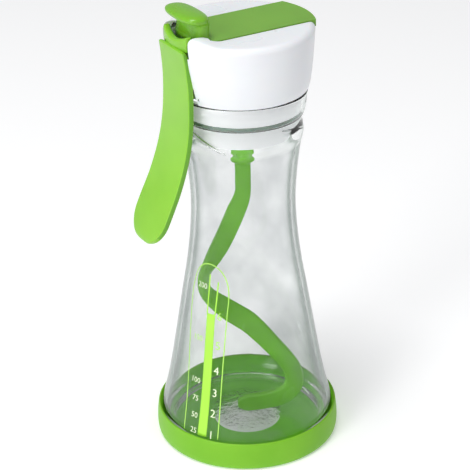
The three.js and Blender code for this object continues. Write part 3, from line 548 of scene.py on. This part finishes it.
def make_boot():
    """The boot's closed profile carried round the axis: foot, wall, lip, inside, hole."""
    inner = HEEL_R + 0.3
    outer = (BOOT_HIGH[0] - BOOT_LOW[0]) / 2
    top = BOOT_HIGH[2]
    corner = [(outer - 1.9, 0.02), (outer - 1.1, 0.25), (outer - 0.45, 0.9), (outer - 0.12, 2.2)]
    wall = smooth_line([(outer, 3.6), (outer, 5.5), (outer - 0.16, 8.3), (inner + 1.1, top - 0.7)], 14)
    lip = [(inner + 1.0, top - 0.3), (inner + 0.78, top - 0.06), (inner + 0.5, top),
           (inner + 0.22, top - 0.08), (inner + 0.06, top - 0.35)]
    inside = [(inner, top - 1.2), (inner, 5.0), (inner - 0.3, 3.2), (FOOT_R + 0.7, 1.75), (FOOT_R - 1, 1.6)]
    hole = [(BOOT_HOLE_R + out, z) for out, z in (
        (1.2, 1.6), (0.3, 1.5), (0.0, 1.2), (0.0, 0.3), (0.2, 0.05), (0.8, 0.0))]
    profile = np.vstack([corner, wall, lip, inside, hole])
    skin = dress(put_revolve("boot_skin", profile, 200), "boot", "base", "base_boot")
    # The inside wall takes the glowing finish: painted light
    second_finish(skin, "boot_inside_glow", lambda r, z: (r < inner + 0.05) & (z > 0.5))


# Printed scale: everything on the wall is a sheet worked out from angle and height

PRINT_LIFT = 0.06
PRINT_UNDER = 0.02
SCALE_LOW_Z = 12.9
# The numbers right and left of the band: text, angle, height
RIGHT_NUMBERS = (("1", -25.2, 14.2), ("2", -25.0, 23.6), ("3", -24.6, 32.8), ("4", -24.2, 42.8),
                 ("5", -23.9, 54.0), ("6", -23.6, 67.0))
LEFT_NUMBERS = (("25", -38.8, 14.2), ("50", -39.7, 20.8), ("75", -40.6, 28.3), ("100", -42.2, 36.3),
                ("150", -44.0, 55.3), ("200", -44.6, 78.6))


def on_wall(angle_deg, z, lift=PRINT_LIFT):
    """Points at the bottle's radius plus a lift, from heights and angles off the camera's direction."""
    a = NEAR_ANGLE + np.radians(angle_deg)
    r = wall_radius(z) + lift
    return np.stack([r * np.cos(a), r * np.sin(a), z + 0 * r], -1)


def print_sheet(name, left, right, finish_name):
    """A strip between two lines of (angle, height), lying on the wall."""
    left, right = np.asarray(left, float), np.asarray(right, float)
    t = np.linspace(0, 1, 6)[None, :, None]
    across = left[:, None] * (1 - t) + right[:, None] * t
    grid = on_wall(across[..., 0], across[..., 1])
    under = on_wall(across[..., 0], across[..., 1], PRINT_UNDER)
    ring = np.concatenate([grid, under[:, ::-1]], axis=1)
    dress(put_grid(name, ring), finish_name, "base")


def print_line(name, line, width, finish_name, count=60):
    """A line of (angle, height) points drawn with a width in millimetres."""
    p = smooth_line(line, count)
    r = wall_radius(p[:, 1])
    flat = np.column_stack([np.radians(p[:, 0]) * r, p[:, 1]])
    along = np.gradient(flat, axis=0)
    side = np.column_stack([-along[:, 1], along[:, 0]])
    side *= width / 2 / np.linalg.norm(along, axis=1)[:, None]
    shift = np.column_stack([np.degrees(side[:, 0] / r), side[:, 1]])
    print_sheet(name, p - shift, p + shift, finish_name)


def print_number(text, angle, z, size, finish_name):
    """A plain number: its flat outline bent onto the wall, x round it and y up it."""
    curve = bpy.data.curves.new(f"scale_{text}", "FONT")
    curve.body = text
    curve.size = size
    curve.align_x = "CENTER"
    curve.align_y = "CENTER"
    curve.resolution_u = 3
    holder = bpy.data.objects.new("number_holder", curve)
    bpy.context.scene.collection.objects.link(holder)
    bpy.context.view_layer.update()
    flat = bpy.data.meshes.new_from_object(holder.evaluated_get(bpy.context.evaluated_depsgraph_get()))
    bpy.data.objects.remove(holder)
    points = np.array([v.co[:2] for v in flat.vertices])
    faces = [list(p.vertices) for p in flat.polygons]
    height = z + points[:, 1]
    degrees = angle + np.degrees(points[:, 0] / wall_radius(z))
    placed = on_wall(degrees, height)
    bpy.data.meshes.remove(flat)
    dress(put_mesh(f"scale_number_{text}", placed, faces, smooth=False), finish_name, "base")


def make_scale():
    """The band, the two thin lines that carry on from its edges, the arch round them, and the numbers."""
    band_left = smooth_line([(-35.2, SCALE_LOW_Z), (-35.8, 40), (-36.6, 67.5)], 40)
    band_right = smooth_line([(-28.3, SCALE_LOW_Z), (-28.2, 40), (-28.0, 67.5)], 40)
    print_sheet("scale_band", band_left, band_right, "print")
    print_line("scale_band_left", [(-36.3, 67.4), (-36.3, 75), (-36.2, 84.5)], 0.6, "print", 20)
    print_line("scale_band_right", [(-28.2, 67.4), (-27.3, 75), (-26.5, 82)], 0.6, "print", 20)
    arch = [(-46.8, SCALE_LOW_Z), (-50.6, 37.5), (-54.0, 55), (-56.8, 69), (-57.2, 76), (-54.6, 82.5),
            (-48.5, 86.9), (-39.8, 88.8), (-30.5, 88.5), (-22.0, 86.0), (-16.8, 81.5),
            (-15.4, 76), (-16.4, 69), (-18.0, 55), (-19.4, 37.5), (-20.2, SCALE_LOW_Z)]
    print_line("scale_arch", arch, 0.46, "print_pale", 150)
    for text, angle, z in RIGHT_NUMBERS:
        print_number(text, angle, z, 5.0, "print_white" if z < 50 else "print_pale")
    for text, angle, z in LEFT_NUMBERS:
        print_number(text, angle, z, 3.4, "print_pale" if 50 < z < 70 else "print_white")


# Trigger

# Outer line of the handle from its top to the end of its paddle: x, z
TRIGGER_LINE = [
    (-32.0, 184.1), (-31.0, 175.5), (-30.5, 166), (-31.1, 152.5), (-33.3, 140.5), (-37.3, 128.5),
    (-42.6, 117), (-47.1, 107.4), (-48.7, 103.7),
]
HANDLE_DEPTH = 2.9
HANDLE_FACE = 1.8
HANDLE_RIM = 1.7
# Where the arm's copy is cut off behind the head, and how far its end is drawn back into the handle
ARM_ROOT_X = -26.3
ARM_REACH = 2.4


def channel_section(half, top, end, hollow):
    """The handle's section along its line: arrays of places across it and of depths behind its face.

    The face rises to its edges by crown * k^2, k being the share of the half width. Rounded corners
    lead to flat sides, then over the rims down into the pocket. The depth lessens with top, the edge
    thins with top and end, and the pocket's floor comes up where hollow falls to nothing.
    """
    depth = HANDLE_DEPTH - 1.3 * top
    part = depth / HANDLE_DEPTH
    thin = 0.1 * top + 0.5 * end
    crown = 0.35 * part
    pocket = np.minimum(depth, depth - (depth - HANDLE_FACE) * hollow)
    back = depth - 0.3 * thin
    wall = half - HANDLE_RIM
    face = [(-half * k, thin + crown * k * k) for k in np.linspace(0.93, -0.93, 9)]
    right = [
        (half - 0.35, thin + crown + 0.02), (half - 0.08, thin + crown + 0.22 * part),
        (half, thin + crown + 0.55 * part), (half, thin + 1.6 * part), (half, back - 0.5 * part),
        (half - 0.4, back), (wall + 0.3, back), (wall, back - 0.3), (wall, pocket + 0.05),
        (wall - 0.5, pocket - 0.3 * thin),
    ]
    left = [(-y, d) for y, d in reversed(right)]
    section = np.array(face + right + left)
    return section[:, 0].T, section[:, 1].T


def make_trigger():
    """The channel section carried down its curved line, with the CAD trigger's arm behind it.

    The width grows from the top to the paddle and closes in a round end. The hollow fades to
    nothing at both ends, where the section is solid. The two sides get a darker green, painted shade.
    """
    count = 90
    line = smooth_line(TRIGGER_LINE, count)
    t = np.linspace(0, 1, count)
    inward = across_line(line)
    low = np.clip((t - 0.86) / 0.14, 0, 1)
    top = np.clip(1 - t / 0.035, 0, 1)
    end = np.clip((t - 0.985) / 0.015, 0, 1)
    half = (10.2 + 2.4 * np.minimum(1, t / 0.8)) * np.sqrt(np.maximum(0.12, 1 - 0.88 * low**2))
    hollow = np.clip(t / 0.03, 0, 1) * np.clip((0.955 - t) / 0.03, 0, 1)
    y, d = channel_section(half, top, end, hollow)
    grid = np.stack([line[:, :1] + inward[:, :1] * d, y, line[:, 1:] + inward[:, 1:] * d], -1)
    handle = put_grid("trigger_handle", grid)
    ease = handle.modifiers.new("round", "SUBSURF")
    ease.levels = ease.render_levels = 2
    dress(handle, "green", "trigger")
    # Faces turned sideways take the darker green: painted shade
    handle.data.materials.append(MATERIALS["green_painted_side_shade"])
    for face in handle.data.polygons:
        if abs(face.normal.y) > 0.8:
            face.material_index = 1
    arm = eased_copy("trigger", "trigger_arm", "green", "trigger", bevel=0)
    slice_off(arm, (AXIS_X + ARM_ROOT_X, 0, 0), (-1, 0, 0))
    move_points(arm, lambda x, y, z: (np.where(x < ARM_ROOT_X + 0.05, x - ARM_REACH, x), y, z))


# Pour lever

STRIP_TOP_Z = 187.7
# Tab's rings from its root to its top: height, middle x, half length along x, half width
TAB_RINGS = [
    (186.4, -21.5, 4.2, 10.8), (187.6, -21.5, 4.2, 10.8), (188.3, -21.5, 3.9, 10.5),
    (189.6, -21.5, 3.75, 10.3), (191.4, -21.4, 3.75, 10.25), (193.0, -21.35, 3.8, 10.4),
    (194.0, -21.5, 4.0, 10.6), (194.5, -22.3, 4.7, 11.1), (194.8, -23.2, 5.4, 11.5),
    (195.3, -23.8, 5.85, 11.8), (196.0, -24.05, 6.0, 11.95), (196.7, -24.1, 5.9, 11.85),
    (197.2, -24.1, 5.4, 11.35), (197.6, -24.1, 4.6, 10.6), (197.95, -24.1, 3.3, 9.1),
    (198.2, -24.1, 1.5, 5.8),
]
TAB_SQUARENESS = 2.7


def make_lever_top():
    """The strip is the CAD lever cut off at its top, the tab a loft of squarish rings above it.

    A ring is a superellipse, |x/a|^n + |y/b|^n = 1 with n the squareness, and the plate's rings
    lean up to the rear by a twentieth.
    """
    strip = eased_copy("pour_lever", "pour_lever_strip", "lever", "lever", bevel=0.4, segments=3)
    slice_off(strip, (0, 0, STRIP_TOP_Z - 0.02), (0, 0, 1))
    z, middle, half_x, half_y = smooth_line(TAB_RINGS, 64).T[..., None]
    turn = np.linspace(0, 2 * math.pi, 96, endpoint=False)
    power = 2 / TAB_SQUARENESS
    x = middle + half_x * np.sign(np.cos(turn)) * np.abs(np.cos(turn)) ** power
    y = half_y * np.sign(np.sin(turn)) * np.abs(np.sin(turn)) ** power
    lean = -0.05 * np.clip((z - 193) / 3, 0, 1) * (x + 24.6)
    dress(put_grid("pour_lever_tab", np.stack([x, y, z + lean], -1)), "tab", "lever")


# Stirrer

# Middle line of the wave in the plane that faces the camera: sideways, z
STIRRER_LINE = [
    (0, 129.6), (0, 120), (-0.4, 112), (-3.4, 104), (-8.4, 92), (-13.3, 82), (-17.3, 73.5), (-16.4, 65.5),
    (-8, 57.5), (2, 50), (12, 38.5), (19.4, 28.5), (20.8, 20.5), (16.5, 14.6), (7, 12.3), (-4, 12.0),
]
HUB_LINE = [
    (0.02, 128.2), (4.0, 127.9), (4.9, 128.9), (4.9, 130.6), (4.3, 131.3), (2.8, 131.7), (2.6, 133.5),
    (2.6, 141.5), (0.02, 141.5),
]


def bell(t, middle, width):
    """A bell curve of height 1, exp(-((t - middle) / width)^2)."""
    return np.exp(-(((t - middle) / width) ** 2))


def make_stirrer():
    """A rounded ribbon carried down its wave, and its hub.

    The ribbon turns edge-on by a bell round the upper bend, and its width is 4 mm a side times
    bells and ramps along the line. Its tail comes nearer to the camera by a power of 1.5.
    """
    count = 150
    line = smooth_line(STIRRER_LINE, count)
    t = np.linspace(0, 1, count)[:, None]
    sideways = np.array([math.cos(VIEW_TURN), -math.sin(VIEW_TURN), 0])
    away = np.array([math.sin(VIEW_TURN), math.cos(VIEW_TURN), 0])
    up = np.array([0, 0, 1.0])
    near = -4.0 * np.clip((t - 0.72) / 0.28, 0, 1) ** 1.5
    centre = line[:, :1] * sideways + line[:, 1:] * up + near * away
    across = across_line(line)
    normal = across[:, :1] * sideways + across[:, 1:] * up
    turn = math.radians(70) * bell(t, 0.42, 0.12)
    wide = normal * np.cos(turn) + away * np.sin(turn)
    thin = -normal * np.sin(turn) + away * np.cos(turn)
    broad = 1 + 0.16 * bell(t, 0.56, 0.1) - 0.12 * bell(t, 0.41, 0.05)
    neck = 0.82 + 0.18 * np.clip((t - 0.1) / 0.06, 0, 1)
    tip = np.sqrt(np.clip((1.004 - t) / 0.03, 0.05, 1))
    a, b = rounded_section(4 * broad * neck * tip, 1.45 + 0 * t, 0.95, 4)
    grid = centre[:, None] + a[..., None] * wide[:, None] + b[..., None] * thin[:, None]
    # Both stirrer pieces take the glowing stirrer finish: painted light
    dress(put_grid("stirrer_ribbon", grid), "stirrer", "stirrer", "stirrer")
    dress(put_revolve("stirrer_hub", round_corners(HUB_LINE, 0.35, 3), 64), "stirrer", "stirrer")


# Head: its skin, plug, collar and core

HEAD_SIDE = [(27.6, 161.3), (28.3, 164), (29.0, 170), (29.6, 177), (30.1, 184.6)]
HEAD_TOP_Z = 187.2
HEAD_TOP_R = 30.1
HEAD_FILLET = 2.6
SKIN = 0.05
SLOT_HALF = 10.5
CHANNEL_HALF = 13.3
CHEEK_SWELL = 2.0
EAR_RISE = 3.0
BOSS_R = 6.5
BOSS_LOW_Z = 140.5
COLLAR_R = 29.6
COLLAR_HALF = 9.6
COLLAR_LOW_Z = 183.9
COLLAR_DIP_Z = 187.5
COLLAR_HORN = 2.75


def make_head_skin():
    """The head's outside as one turned skin over the CAD shell, cut for the lever and the trigger.

    Its radius is the profile's, plus a swelling each side of the trigger that rises with height:
    CHEEK_SWELL * bump(turn from the rear) * rise(z). There its top climbs by EAR_RISE, in a smooth
    step over the outer 7 mm.
    """
    side = smooth_line(HEAD_SIDE, 26)
    fillet = np.radians(np.linspace(0, 90, 9))
    edge = np.column_stack([HEAD_TOP_R - HEAD_FILLET + HEAD_FILLET * np.cos(fillet),
                            HEAD_TOP_Z - HEAD_FILLET + HEAD_FILLET * np.sin(fillet)])
    top = [(r, HEAD_TOP_Z) for r in (26.4, 25.2, 24, 22.8, 21.6, 20.4, 19, 16, 12, 8, 4, 0.05)]
    outer = np.vstack([[(27.2, 161.25)], side[:-1], edge, top])
    outer += np.column_stack([np.full(len(outer), SKIN), np.where(outer[:, 1] > 162, SKIN, 0)])
    inner = [(0.05, 186.6), (8, 186.6), (18, 186.6), (26.5, 186.6), (28.1, 184.6), (28.3, 177), (27.6, 168),
             (26.5, 161.25)]
    r, z = np.vstack([outer, inner]).T[..., None]
    turn = np.linspace(-math.pi, math.pi, 256, endpoint=False)[None, :]
    off = np.degrees(np.pi - np.abs(turn))
    bump = bell(off, 21, 11) * np.where(turn < 0, 1.0, 0.4)
    rise = np.clip((z - 161.5) / 22, 0, 1)
    share = np.clip((r - 24) / 5, 0, 1)
    share[len(outer):] *= 0.3
    ear = EAR_RISE * np.cos(np.clip((off - 19) / 26, 0, 1) * math.pi / 2) ** 2
    near = np.clip((r - 19) / 7, 0, 1)
    z = z + ear * near * near * (3 - 2 * near) * np.clip((z - 180) / 6, 0, 1)
    r = r + CHEEK_SWELL * bump * rise * share
    skin = put_grid("head_skin", np.stack([r * np.cos(turn), r * np.sin(turn), z], -1), close_rows=True)
    cut_away(skin, [
        ((-40, -24.4), (-SLOT_HALF, SLOT_HALF), (150, 200)),
        ((-12.6, 40), (-CHANNEL_HALF, CHANNEL_HALF), (184.4, 200)),
        ((-21.0, -12.59), (-CHANNEL_HALF, CHANNEL_HALF), (183.0, 200)),
        ((-40, -20.9), (-11.4, 11.4), (181.6, 200)),
    ])
    dress(skin, "white", "head")


def make_plug_skin():
    """The plug's walls as one turned skin over the CAD plug, whose boss is drawn up clear of the hub."""
    # Both plug pieces take the glowing plug finish: painted light
    plug = eased_copy("neck_plug", "neck_plug_skin", "plug", "head", bevel=0)
    move_points(plug, lambda x, y, z: (x, y, np.where(np.hypot(x, y) < BOSS_R, np.maximum(z, BOSS_LOW_Z), z)))
    walls = [(24.65, 161.0), (24.65, 153.2), (24.4, 152.7), (23.9, 152.55), (22.5, 152.55), (22.1, 152.3),
             (22.05, 151.6), (22.05, 143.0), (21.9, 142.3), (21.4, 141.97), (20.9, 141.97), (20.4, 142.3),
             (20.15, 143.0), (20.15, 157), (20.15, 161.0)]
    dress(put_revolve("plug_walls", walls, 180), "plug", "head")


def make_collar():
    """A band behind the tab, bent round the axis, over the CAD collar's root.

    Its top edge is dished: COLLAR_DIP_Z + COLLAR_HORN * (|y| / COLLAR_HALF)^1.8. Its section is a
    rounded rectangle that draws in over the last 0.8 mm of each horn.
    """
    y = np.linspace(COLLAR_HALF, -COLLAR_HALF, 60)[:, None]
    top = COLLAR_DIP_Z + COLLAR_HORN * (np.abs(y) / COLLAR_HALF) ** 1.8
    past = np.maximum(0.0, (np.abs(y) - COLLAR_HALF + 0.8) / 0.8)
    end = np.sqrt(np.maximum(0.0, 1 - past**2))
    shrink = 0.25 + 0.75 * end
    half_z = (top - COLLAR_LOW_Z) / 2 * (0.9 + 0.1 * end)
    a, b = rounded_section(1.45 * shrink, half_z, 0.9 * shrink, 6)
    x = -np.sqrt((COLLAR_R + a) ** 2 - y**2)
    band = put_grid("rear_collar_band", np.stack([x, y + 0 * x, (top + COLLAR_LOW_Z) / 2 + b], -1))
    dress(band, "green", "head")
    root = eased_copy("rear_collar", "rear_collar_root", "green", "head", bevel=0.1)
    move_points(root, lambda x, y, z: (x, y, np.minimum(z, 187.0)))


def make_housings():
    make_head_skin()
    make_plug_skin()
    make_collar()
    core = eased_copy("head_shell", "head_core", "white", "head", bevel=0)
    move_points(core, lambda x, y, z: (x, y, np.minimum(z, HEAD_TOP_Z - 0.45)))


# CAD nodes that are seen as they are, by finish
CARRIED = {
    "seal": ("seal_ring", "spout_seal"),
    "gear": ("rack", "gear_bridge", "compound_gear", "drive_shaft"),
    "steel": ("lever_pin", "lever_spring", "trigger_pin", "trigger_spring", "compound_axle", "bridge_screw_1",
              "bridge_screw_2", "bridge_screw_3"),
}


def dress_carried():
    for finish_name, names in CARRIED.items():
        for name in names:
            node = NODES[name]
            node.data.materials.clear()
            node.data.materials.append(MATERIALS[finish_name])


# Studio

FLOOR_HALF = 3.0


def make_camera():
    """The camera at the photograph's place, aimed so that its middle is the picture's."""
    ahead = np.array([math.sin(VIEW_TURN), math.cos(VIEW_TURN), 0.0])
    right = np.array([math.cos(VIEW_TURN), -math.sin(VIEW_TURN), 0.0])
    sky = np.array([0, 0, 1.0])
    forward = ahead * math.cos(CAMERA_PITCH) - sky * math.sin(CAMERA_PITCH)
    up = ahead * math.sin(CAMERA_PITCH) + sky * math.cos(CAMERA_PITCH)
    right, up = right - CAMERA_ROLL * up, up + CAMERA_ROLL * right
    forward = forward - AIM_PIXELS[0] / FOCAL_PIXELS * right + AIM_PIXELS[1] / FOCAL_PIXELS * up
    forward /= np.linalg.norm(forward)
    right = np.cross(forward, up)
    right /= np.linalg.norm(right)
    up = np.cross(right, forward)
    data = bpy.data.cameras.new("camera")
    data.sensor_width = SENSOR_MM
    data.lens = FOCAL_PIXELS / IMAGE_PIXELS * SENSOR_MM
    data.clip_start = 0.05
    camera = bpy.data.objects.new("camera", data)
    bpy.context.scene.collection.objects.link(camera)
    place = (-ahead * CAMERA_BACK + sky * CAMERA_HIGH + [AXIS_X, 0, 0]) * MM
    matrix = np.eye(4)
    matrix[:3] = np.column_stack([right, up, -forward, place])
    camera.matrix_world = Matrix(matrix.tolist())
    bpy.context.scene.camera = camera


def soft_light(name, place, target, size, power):
    """A rectangular area light at a place in metres, aimed at a point."""
    data = bpy.data.lights.new(name, "AREA")
    data.shape = "RECTANGLE"
    data.size, data.size_y = size
    data.energy = power
    light = bpy.data.objects.new(name, data)
    bpy.context.scene.collection.objects.link(light)
    light.location = place
    light.rotation_euler = (Vector(target) - Vector(place)).to_track_quat("-Z", "Y").to_euler()


def make_floor():
    corners = [(-FLOOR_HALF, -FLOOR_HALF, 0), (FLOOR_HALF, -FLOOR_HALF, 0), (FLOOR_HALF, FLOOR_HALF, 0),
               (-FLOOR_HALF, FLOOR_HALF, 0)]
    mesh = bpy.data.meshes.new("floor")
    mesh.from_pydata(corners, [], [(0, 1, 2, 3)])
    floor = bpy.data.objects.new("floor", mesh)
    bpy.context.scene.collection.objects.link(floor)
    material, _, _, shader = new_material("pale_floor")
    shader.inputs["Base Color"].default_value = (0.85, 0.85, 0.85, 1)
    shader.inputs["Emission Color"].default_value = (1, 1, 1, 1)
    shader.inputs["Emission Strength"].default_value = 0.3
    shader.inputs["Roughness"].default_value = 0.9
    shader.inputs["Specular IOR Level"].default_value = 0.1
    mesh.materials.append(material)


def make_sky():
    """A pale grey all round, a little darker overhead."""
    world = bpy.data.worlds.new("studio")
    bpy.context.scene.world = world
    world.use_nodes = True
    nodes, links = world.node_tree.nodes, world.node_tree.links
    sky = nodes["Background"]
    sky.inputs["Strength"].default_value = 1.0
    direction, parts, fade = (nodes.new(kind) for kind in (
        "ShaderNodeTexCoord", "ShaderNodeSeparateXYZ", "ShaderNodeValToRGB"))
    fade.color_ramp.elements[0].position = 0.05
    fade.color_ramp.elements[0].color = (0.5, 0.5, 0.51, 1)
    fade.color_ramp.elements[1].position = 0.75
    fade.color_ramp.elements[1].color = (0.3, 0.305, 0.315, 1)
    links.new(direction.outputs["Generated"], parts.inputs["Vector"])
    links.new(parts.outputs["Z"], fade.inputs["Fac"])
    links.new(fade.outputs["Color"], sky.inputs["Color"])


def make_studio():
    make_floor()
    make_sky()
    bpy.context.scene.view_settings.view_transform = "Standard"
    middle = (0, 0, 0.1)
    soft_light("key", (-1.15, -0.5, 0.62), middle, (0.4, 0.9), 7.5)
    soft_light("top", (-0.25, -0.1, 1.3), middle, (0.5, 0.5), 8.3)


make_camera()
make_studio()
make_bottle()
make_boot()
make_scale()
make_trigger()
make_lever_top()
make_stirrer()
make_housings()
dress_carried()
